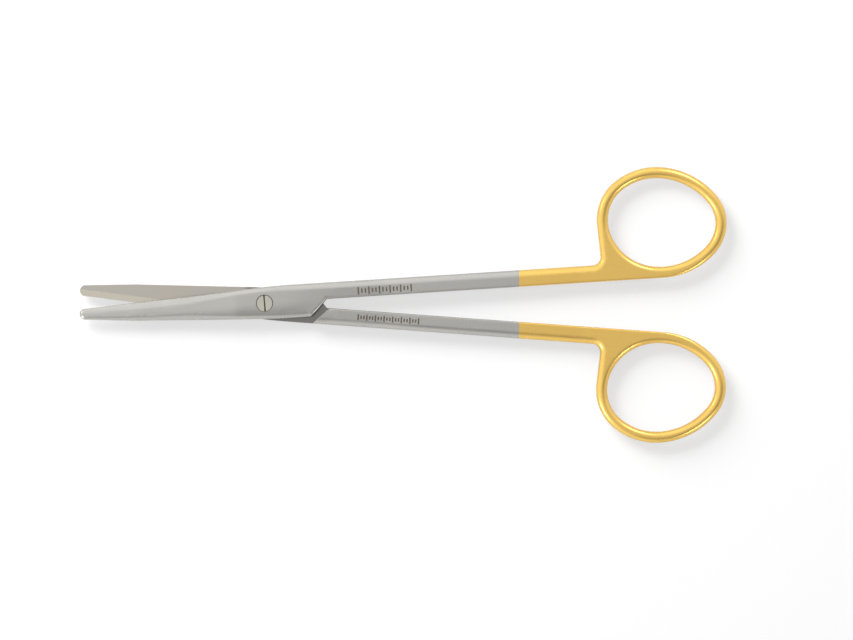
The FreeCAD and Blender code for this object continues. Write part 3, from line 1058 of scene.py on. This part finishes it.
def tone_and_painted_shade_over(tree, tint, mask):
    """Lays a second tint over a material where the mask is one, for tone that varies at random and for
    painted shade alike.
    """
    shader = tree.nodes["Principled BSDF"]
    base = Output(tree, shader.inputs["Base Color"].links[0].from_socket)
    feed(tree, shader, {"Base Color": mixed_colour(tree, mask, base, rgba(tint))})


def metal(name, tint, shade, roughness, spread, turn, along, across, relief):
    """A metal whose colour and roughness wander, with fine lines in one direction."""
    material, tree, shader = new_material(name)
    lines = group_node(tree, "Fine lines", {"Turn": turn, "Along": along, "Across": across})
    patches = group_node(tree, "Handling")["Patches"]
    feed(tree, shader, {
        "Base Color": mixed_colour(tree, patches * lines["Mask"], rgba(tint), rgba(tint, shade)),
        "Metallic": 1.0,
        "Roughness": ranged(tree, patches, 0.0, 1.0, roughness - spread, roughness + spread),
        "Normal": bumped(tree, lines["Height"], relief, LINE_DEPTH),
    })
    return material


def half_materials(finishes):
    """Satin steel, ground lap faces with painted shade within the joint, and gold plating, in the order of
    their numbers.
    """
    steel = metal("satin_steel", finishes.steel, shade=0.93, roughness=finishes.steel_roughness,
                  spread=0.04, turn=0.0, along=60.0, across=5000.0, relief=0.25)
    lap = metal("ground_steel", finishes.ground, shade=0.92, roughness=finishes.ground_roughness,
                spread=0.04, turn=1.2, along=90.0, across=4000.0, relief=0.35)
    gold = metal("gold_plating", finishes.gold, shade=0.95, roughness=finishes.gold_roughness,
                 spread=0.03, turn=0.0, along=300.0, across=1500.0, relief=0.12)
    tree = lap.node_tree
    tone_and_painted_shade_over(tree, finishes.warm, group_node(tree, "Handling", {"Size": 90.0})["Patches"])
    # Painted shade: the lap faces turn dark towards the joint, where its walls shade them
    along_x, _, _ = coordinates(tree, object_place(tree))
    joint_shade_mask = ranged(tree, along_x, *JOINT_PAINTED_SHADE_BORDER, smooth=True)
    tone_and_painted_shade_over(tree, finishes.joint_floor_painted_shade, joint_shade_mask)
    return [steel, lap, gold]


def slot_painted_shade_material(tint):
    """The inside of a driver slot, dark with painted shade, and darker with more painted shade towards its
    two ends.
    """
    material = metal("screw_slot", tint, shade=0.6, roughness=0.5,
                     spread=0.08, turn=0.0, along=400.0, across=6000.0, relief=0.3)
    tree = material.node_tree
    level = fed(tree, "ShaderNodeVectorMath", {0: object_place(tree), 1: (1.0, 1.0, 0.0)},
                operation="MULTIPLY")
    off_axis = fed(tree, "ShaderNodeVectorMath", {0: level}, output="Value", operation="LENGTH")
    tone_and_painted_shade_over(tree, PAINTED_SLOT_END_SHADE, ranged(tree, off_axis, *SLOT_SHADE_BORDER, smooth=True))
    return material


def ink_material(tint):
    """Matt etched marks with a fine uneven grain."""
    material, tree, shader = new_material("etched_marks")
    specks = group_node(tree, "Handling")["Specks"]
    feed(tree, shader, {
        "Base Color": mixed_colour(tree, specks, rgba(tint), rgba(tint, INK_SPECK_SHADE)),
        "Roughness": INK_ROUGHNESS,
        "Normal": bumped(tree, specks, INK_RELIEF, INK_GRAIN_DEPTH),
    })
    return material


class SCISSORS_OT_inserts(bpy.types.Operator):
    """Gives the two hard-metal inserts their finish"""
    bl_idname = "scissors.inserts"
    bl_label = "Cutting inserts"

    def execute(self, context):
        hard = metal("hard_metal", context.scene.scissors.finishes.hard_metal, shade=0.95, roughness=0.27,
                     spread=0.03, turn=1.5, along=150.0, across=6000.0, relief=0.3)
        for name in ("upper_blade_insert", "lower_blade_insert"):
            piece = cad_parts[name]
            piece.data.materials.clear()
            piece.data.materials.append(hard)
        return {"FINISHED"}


# Trees that make the screw and the marks
def geometry_tree(name, inputs):
    """A geometry tree with named inputs, and what it is given, in their order."""
    tree = bpy.data.node_groups.new(name, "GeometryNodeTree")
    for label, kind in inputs:
        tree.interface.new_socket(name=label, in_out="INPUT", socket_type="NodeSocket" + kind)
    tree.interface.new_socket(name="Geometry", in_out="OUTPUT", socket_type="NodeSocketGeometry")
    given = node(tree, "NodeGroupInput").outputs[:len(inputs)]
    return tree, [Output(tree, socket) for socket in given]


def finished(tree, geometry, material):
    """Makes everything real and gives it a material."""
    plain = fed(tree, "GeometryNodeRealizeInstances", {"Geometry": geometry})
    return fed(tree, "GeometryNodeSetMaterial", {"Geometry": plain, "Material": material})


def moved(tree, geometry, translation, **more):
    inputs = {"Geometry": geometry, "Translation": translation, **more}
    return fed(tree, "GeometryNodeTransform", inputs)


def joined(tree, parts):
    join = node(tree, "GeometryNodeJoinGeometry")
    for part in parts:
        feed(tree, join, {0: part})
    return Output(tree, join.outputs[0])


def welded(tree, geometry):
    return fed(tree, "GeometryNodeMergeByDistance", {"Geometry": geometry, "Distance": WELD})


def chosen(tree, index, values):
    """A number picked from a list by a whole number that varies over the mesh."""
    switch = node(tree, "GeometryNodeIndexSwitch", data_type="FLOAT")
    while len(switch.index_switch_items) < len(values):
        switch.index_switch_items.new()
    feed(tree, switch, dict(enumerate((index, *values))))
    return Output(tree, switch.outputs[0])


def grown(name, tree, values):
    """A piece made by a geometry tree from named values, as a plain mesh."""
    piece = linked(bpy.data.objects.new(name, bpy.data.meshes.new(name)))
    modifier = piece.modifiers.new("nodes", "NODES")
    modifier.node_group = tree
    for item in tree.interface.items_tree:
        if item.in_out == "INPUT":
            modifier[item.identifier] = values[item.name]
    baked(piece)
    outward_faces(piece)
    return piece


# Rows of the screw's grid over its thread
HEAD_ROWS = 7
# How steeply the thread rises from nothing at its two ends
THREAD_RISE = 6.0
# Clearance with which the faces in the slot are told from the head's
SLOT_MARGIN = 0.01 * MM


def screw_tree():
    """A turned screw: chamfered head, smooth length, helical thread and a driver slot."""
    sizes = ("Head radius", "Head chamfer", "Journal radius", "Thread radius", "Thread depth",
             "Pitch", "End chamfer", "Top", "Head bottom", "Thread top", "End",
             "Slot width", "Slot depth", "Slot angle")
    inputs = [(label, "Float") for label in sizes]
    inputs += [("Sides", "Int"), ("Thread rows", "Int"), ("Metal", "Material"), ("Slot", "Material")]
    tree, given = geometry_tree("Turned screw", inputs)
    (head, chamfer, journal, thread, depth, pitch, end_chamfer, top, head_bottom, thread_top, end,
     slot_width, slot_depth, slot_angle, sides, thread_rows, metal_input, slot_shade_input) = given

    # A flat grid whose columns go round the axis and whose rows go down the screw
    rows = thread_rows + (HEAD_ROWS + 2)
    grid = fed(tree, "GeometryNodeMeshGrid", {
        "Size X": 1.0, "Size Y": 1.0, "Vertices X": sides + 1, "Vertices Y": rows})
    x, y, z = coordinates(tree, fed(tree, "GeometryNodeInputPosition"))
    turn = (x + 0.5) * (2 * math.pi)
    row = ((y + 0.5) * (rows - 1)).calc("ROUND")

    # Thread rows: a ridge that climbs as it goes round and fades at both ends
    number = row - HEAD_ROWS
    last = thread_rows - 1
    along = (number / last).calc("MAXIMUM", 0.0).calc("MINIMUM", 1.0)
    thread_z = thread_top - along * (thread_top - end - end_chamfer)
    ridge = (thread_z / pitch + turn / (2 * math.pi)).calc("PINGPONG", 0.5)
    fade = (along.calc("MINIMUM", 1.0 - along) * THREAD_RISE).calc("MINIMUM", 1.0)
    thread_r = thread - ridge * 2.0 * depth * fade

    # Radius and height of each kind of row, from the middle of the head to the screw's end
    profile = (
        (0.0, top), (head - chamfer, top), (head, top - chamfer), (head, head_bottom),
        (journal, head_bottom), (journal, thread_top), (thread, thread_top),
        (thread_r, thread_z), (thread - end_chamfer, end), (0.0, end),
    )
    kind = row.calc("MINIMUM", HEAD_ROWS) + (number - last).calc("MAXIMUM", 0.0)
    radius, height = (chosen(tree, kind, values) for values in zip(*profile))
    place = vector(tree, radius * turn.calc("COSINE"), radius * turn.calc("SINE"), height)
    turned = fed(tree, "GeometryNodeSetPosition", {"Geometry": grid, "Position": place})
    outward = fed(tree, "GeometryNodeFlipFaces", {"Mesh": welded(tree, turned)})

    # The driver slot, cut by a block that reaches past the head
    block = fed(tree, "GeometryNodeMeshCube", {
        "Size": vector(tree, head * 3.0, slot_width, slot_depth * 2.0)})
    placed = moved(tree, block, vector(tree, 0.0, 0.0, top), Rotation=vector(tree, 0.0, 0.0, slot_angle))
    slotted = fed(tree, "GeometryNodeMeshBoolean", {"Mesh 1": outward, "Mesh 2": placed},
                  operation="DIFFERENCE", solver="EXACT")

    # Faces within the slot's width and depth take the material with painted shade
    aside = (y * slot_angle.calc("COSINE") - x * slot_angle.calc("SINE")).calc("ABSOLUTE")
    narrow = aside.calc("LESS_THAN", slot_width * 0.51)
    below = z.calc("LESS_THAN", top - SLOT_MARGIN)
    above = z.calc("GREATER_THAN", top - slot_depth - SLOT_MARGIN)
    dark = fed(tree, "GeometryNodeSetMaterial", {
        "Geometry": finished(tree, slotted, metal_input),
        "Selection": narrow * (below * above), "Material": slot_shade_input})
    node(tree, "NodeGroupOutput", {"Geometry": dark})
    return tree


# Rounding of a mark's corners as a share of its width
MARK_CORNER = 0.3


def marks_tree():
    """A row of short bars let into the steel, every so many of them long."""
    sizes = ("Width", "Short", "Long", "Corner", "Depth", "Proud", "Slope")
    inputs = [("Start", "Vector"), ("Step", "Vector"), ("Count", "Int"), ("Long every", "Int")]
    inputs += [(label, "Float") for label in sizes] + [("Ink", "Material")]
    tree, given = geometry_tree("Row of marks", inputs)
    start, step, count, every, width, short, long, corner, depth, proud, slope, ink = given

    def bar(bar_length):
        outline = fed(tree, "GeometryNodeCurvePrimitiveQuadrilateral", {
            "Width": width, "Height": bar_length})
        rounded = fed(tree, "GeometryNodeFilletCurve", {"Curve": outline, "Radius": corner, "Count": 3},
                      mode="POLY")
        face = fed(tree, "GeometryNodeFillCurve", {"Curve": rounded}, mode="NGONS")
        raised = moved(tree, face, vector(tree, 0.0, 0.0, proud))
        sunk = fed(tree, "GeometryNodeExtrudeMesh", {
            "Mesh": raised, "Offset": (0.0, 0.0, -1.0), "Offset Scale": depth + proud,
            "Individual": False}, mode="FACES")
        return welded(tree, joined(tree, (sunk, raised)))

    line = fed(tree, "GeometryNodeMeshLine", {"Count": count, "Start Location": start, "Offset": step},
               mode="OFFSET")
    number = fed(tree, "GeometryNodeInputIndex")
    is_long = number.calc("MODULO", every).calc("LESS_THAN", 0.5)
    rotation = vector(tree, 0.0, slope, 0.0)
    rows = [fed(tree, "GeometryNodeInstanceOnPoints", {
        "Points": line, "Selection": which, "Instance": bar(bar_length), "Rotation": rotation})
        for which, bar_length in ((is_long, long), (1.0 - is_long, short))]
    node(tree, "NodeGroupOutput", {"Geometry": finished(tree, joined(tree, rows), ink)})
    return tree


class SCISSORS_OT_screw(bpy.types.Operator):
    """Builds the slotted pivot screw in place of the plain one"""
    bl_idname = "scissors.screw"
    bl_label = "Pivot screw"

    def execute(self, context):
        sizes = context.scene.scissors
        screw, finishes = sizes.screw, sizes.finishes
        top = SCREW_BOX[1].z
        bright = metal("screw_steel", finishes.screw, shade=0.9, roughness=0.3,
                       spread=0.04, turn=1.45, along=200.0, across=7000.0, relief=0.3)
        piece = grown("turned_screw", screw_tree(), {
            "Head radius": SCREW_BOX[1].x, "Head chamfer": screw.head_chamfer,
            "Journal radius": screw.journal_radius, "Thread radius": screw.thread_radius,
            "Thread depth": screw.thread_depth, "Pitch": screw.thread_pitch,
            "End chamfer": screw.end_chamfer, "Top": top, "Head bottom": top - screw.head_thickness,
            "Thread top": JOINT_THICKNESS - LAP, "End": SCREW_BOX[0].z, "Slot width": screw.slot_width,
            "Slot depth": screw.slot_depth, "Slot angle": screw.slot_angle,
            "Sides": screw.sides, "Thread rows": screw.thread_rows,
            "Metal": bright, "Slot": slot_painted_shade_material(finishes.slot),
        })
        crisp(piece, sizes.mesh.sharp)
        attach(piece, "lower")
        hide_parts("pivot_screw")
        return {"FINISHED"}


class SCISSORS_OT_marks(bpy.types.Operator):
    """Lets a row of plain marks into each shank"""
    bl_idname = "scissors.marks"
    bl_label = "Marks on the shanks"

    def execute(self, context):
        sizes = context.scene.scissors
        half, marks = sizes.half, sizes.marks
        fall = (JOINT_THICKNESS - half.ring_thickness / 2) / (half.taper_end - half.taper_start)
        start_z = JOINT_THICKNESS - fall * (marks.start_x - half.taper_start)
        tree = marks_tree()
        ink = ink_material(sizes.finishes.mark)
        rows = (("upper", marks.upper_y, marks.upper_count, marks.upper_pitch, marks.upper_long, 1),
                ("lower", marks.lower_y, marks.lower_count, marks.lower_pitch, marks.lower_long, -1))
        for body, row_y, count, pitch, long, side in rows:
            piece = grown("marks_" + body, tree, {
                "Start": (marks.start_x, side * row_y, start_z), "Step": (pitch, 0.0, -fall * pitch),
                "Count": count, "Long every": marks.long_every, "Width": marks.width,
                "Short": long * marks.short_share, "Long": long, "Corner": marks.width * MARK_CORNER,
                "Depth": marks.depth, "Proud": marks.proud, "Slope": math.atan(fall), "Ink": ink,
            })
            turn = Matrix.Rotation(side * half.rest_opening / 2, 4, "Z")
            piece.data.transform(Matrix.Translation((0, 0, JOINT_THICKNESS)) @ turn)
            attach(piece, body)
        return {"FINISHED"}


# The stage: distances and sizes of the lamps, and azimuth in degrees and power of each softbox
KEY_DISTANCE, KEY_SIZE = 0.76, 0.5
SOFTBOX_DISTANCE, SOFTBOX_SIZE, SOFTBOX_HEIGHT = 0.7, 0.16, math.radians(38)
SOFTBOXES = ((60, 0.6), (150, 0.2), (215, 0.9), (313, 0.4))
# Middle of the floor to its edge, in metres
FLOOR_REACH = 3

# Brightness of the tent at angles from straight overhead, in degrees: towards the key lamp and away
KEY_SIDE = ((0, 0.69), (8, 0.71), (16, 0.82), (24, 0.89), (60, 0.94), (90, 0.95))
FAR_SIDE = ((0, 0.69), (4, 0.65), (8, 0.54), (12, 0.43), (18, 0.36),
            (34, 0.35), (46, 0.56), (58, 0.73), (90, 0.78))
# Where one side passes to the other, by how far a direction points to the key lamp
SIDE_BORDER = (-0.65, -0.3)
# Brightness along X over all this: start and end of each change, and its levels there
CHANGES_ALONG_X = ((-0.12, 0.1, 1.40, 1.035), (-0.5, -0.13, 0.84, 1.0))
PLAIN_LIGHT = 0.36


def area_lamp(name, aim, azimuth, height, distance, size, energy):
    """A square lamp that faces a point from a distance, an azimuth and a height over the floor."""
    data = bpy.data.lights.new(name, "AREA")
    data.size = size
    data.energy = energy
    lamp = linked(bpy.data.objects.new(name, data))
    level = math.cos(height)
    way = Vector((math.cos(azimuth) * level, math.sin(azimuth) * level, math.sin(height)))
    lamp.location = aim + way * distance
    lamp.rotation_euler = (-way).to_track_quat("-Z", "Y").to_euler()
    return lamp


def views(tree):
    """Two masks: what the camera sees itself, and what the metal shows it.

    Light that the metal casts on the floor is in neither.
    """
    path = all_of(tree, "ShaderNodeLightPath")
    first_gloss = path["Is Glossy Ray"] * path["Diffuse Depth"].calc("LESS_THAN", 0.5)
    return path["Is Camera Ray"], first_gloss


def floor_material(tint, glow, metal_glow):
    """Pale floor that shows white to the camera and in the metal, and keeps its shadows."""
    material, tree, shader = new_material("floor")
    seen, mirrored = views(tree)
    feed(tree, shader, {
        "Base Color": rgba(tint),
        "Roughness": 0.9,
        "Specular IOR Level": 0.0,
        "Emission Color": rgba((1.0, 1.0, 1.0)),
        "Emission Strength": seen * glow + mirrored * metal_glow,
    })
    return material


def ramp(tree, value, stops):
    """Levels at angles between nothing and a right angle."""
    made = node(tree, "ShaderNodeValToRGB", {"Fac": value})
    elements = made.color_ramp.elements
    for degrees, level in stops:
        element = {0: elements[0], 90: elements[-1]}.get(degrees) or elements.new(degrees / 90)
        element.color = rgba((level, level, level))
    return Output(tree, made.outputs["Color"])


def tent_world(key_azimuth):
    """White to the camera, plain light on the floor, and a light tent in the metal."""
    world = bpy.data.worlds.new("tent")
    world.use_nodes = True
    tree = world.node_tree
    x, y, z = coordinates(tree, fed(tree, "ShaderNodeTexCoord", output="Generated"))
    overhead = z.calc("ARCCOSINE")
    lean = overhead / (math.pi / 2)
    level_reach = overhead.calc("SINE").calc("MAXIMUM", 0.001)
    towards_key = (x * math.cos(key_azimuth) + y * math.sin(key_azimuth)) / level_reach
    side = ranged(tree, towards_key, *SIDE_BORDER, smooth=True)
    light = mixed(tree, side, ramp(tree, lean, FAR_SIDE), ramp(tree, lean, KEY_SIDE))
    for change in CHANGES_ALONG_X:
        light = light * ranged(tree, x, *change, smooth=True)
    seen, mirrored = views(tree)
    light = mixed(tree, seen, mixed(tree, mirrored, PLAIN_LIGHT, light), 1.0)
    feed(tree, tree.nodes["Background"], {"Color": light, "Strength": 1.0})
    return world


class SCISSORS_OT_stage(bpy.types.Operator):
    """Sets up the floor, the lamps and a camera that looks straight down"""
    bl_idname = "scissors.stage"
    bl_label = "Stage"

    def execute(self, context):
        stage = context.scene.scissors.stage
        mesh = bpy.data.meshes.new("floor")
        corners = ((-1, -1), (1, -1), (1, 1), (-1, 1))
        mesh.from_pydata([(x * FLOOR_REACH, y * FLOOR_REACH, 0) for x, y in corners], [], [[0, 1, 2, 3]])
        mesh.materials.append(floor_material(stage.floor, stage.floor_glow, stage.metal_glow))
        linked(bpy.data.objects.new("floor", mesh))
        middle = Vector((stage.centre_x, stage.centre_y, JOINT_THICKNESS))
        key = area_lamp("key", middle, stage.key_azimuth, stage.key_height,
                        KEY_DISTANCE, KEY_SIZE, stage.key_power)
        key.visible_glossy = False
        for azimuth, strength in SOFTBOXES:
            softbox = area_lamp(f"softbox_{azimuth}", middle, math.radians(azimuth), SOFTBOX_HEIGHT,
                                SOFTBOX_DISTANCE, SOFTBOX_SIZE, stage.softbox_power * strength)
            softbox.visible_diffuse = False
        context.scene.world = tent_world(stage.key_azimuth)
        camera = bpy.data.cameras.new("camera")
        camera.lens = stage.lens
        eye = linked(bpy.data.objects.new("camera", camera))
        distance = stage.view_width * camera.lens / camera.sensor_width
        eye.location = middle + Vector((0, 0, distance))
        eye.rotation_euler = (0, 0, stage.view_turn)
        context.scene.camera = eye
        context.scene.view_settings.view_transform = "Standard"
        return {"FINISHED"}


class ScissorsSettings(bpy.types.PropertyGroup):
    half: PointerProperty(type=HalfSizes)
    mesh: PointerProperty(type=MeshSizes)
    screw: PointerProperty(type=ScrewSizes)
    marks: PointerProperty(type=MarkSizes)
    finishes: PointerProperty(type=Finishes)
    stage: PointerProperty(type=StageSizes)


class SCISSORS_PT_panel(bpy.types.Panel):
    bl_idname = "SCISSORS_PT_panel"
    bl_label = "Dissecting scissors"
    bl_space_type = "VIEW_3D"
    bl_region_type = "UI"
    bl_category = "Scissors"

    def draw(self, context):
        for operator in OPERATORS:
            self.layout.operator(operator.bl_idname)


OPERATORS = (SCISSORS_OT_halves, SCISSORS_OT_inserts, SCISSORS_OT_screw, SCISSORS_OT_marks,
             SCISSORS_OT_stage)
CLASSES = (HalfSizes, MeshSizes, ScrewSizes, MarkSizes, Finishes, StageSizes, ScissorsSettings,
           *OPERATORS, SCISSORS_PT_panel)


def register():
    for each in CLASSES:
        bpy.utils.register_class(each)
    bpy.types.Scene.scissors = PointerProperty(type=ScissorsSettings)


def unregister():
    del bpy.types.Scene.scissors
    for each in reversed(CLASSES):
        bpy.utils.unregister_class(each)


def main():
    register()
    bpy.ops.scissors.halves()
    bpy.ops.scissors.inserts()
    bpy.ops.scissors.screw()
    bpy.ops.scissors.marks()
    bpy.ops.scissors.stage()


if __name__ == "__main__":
    main()
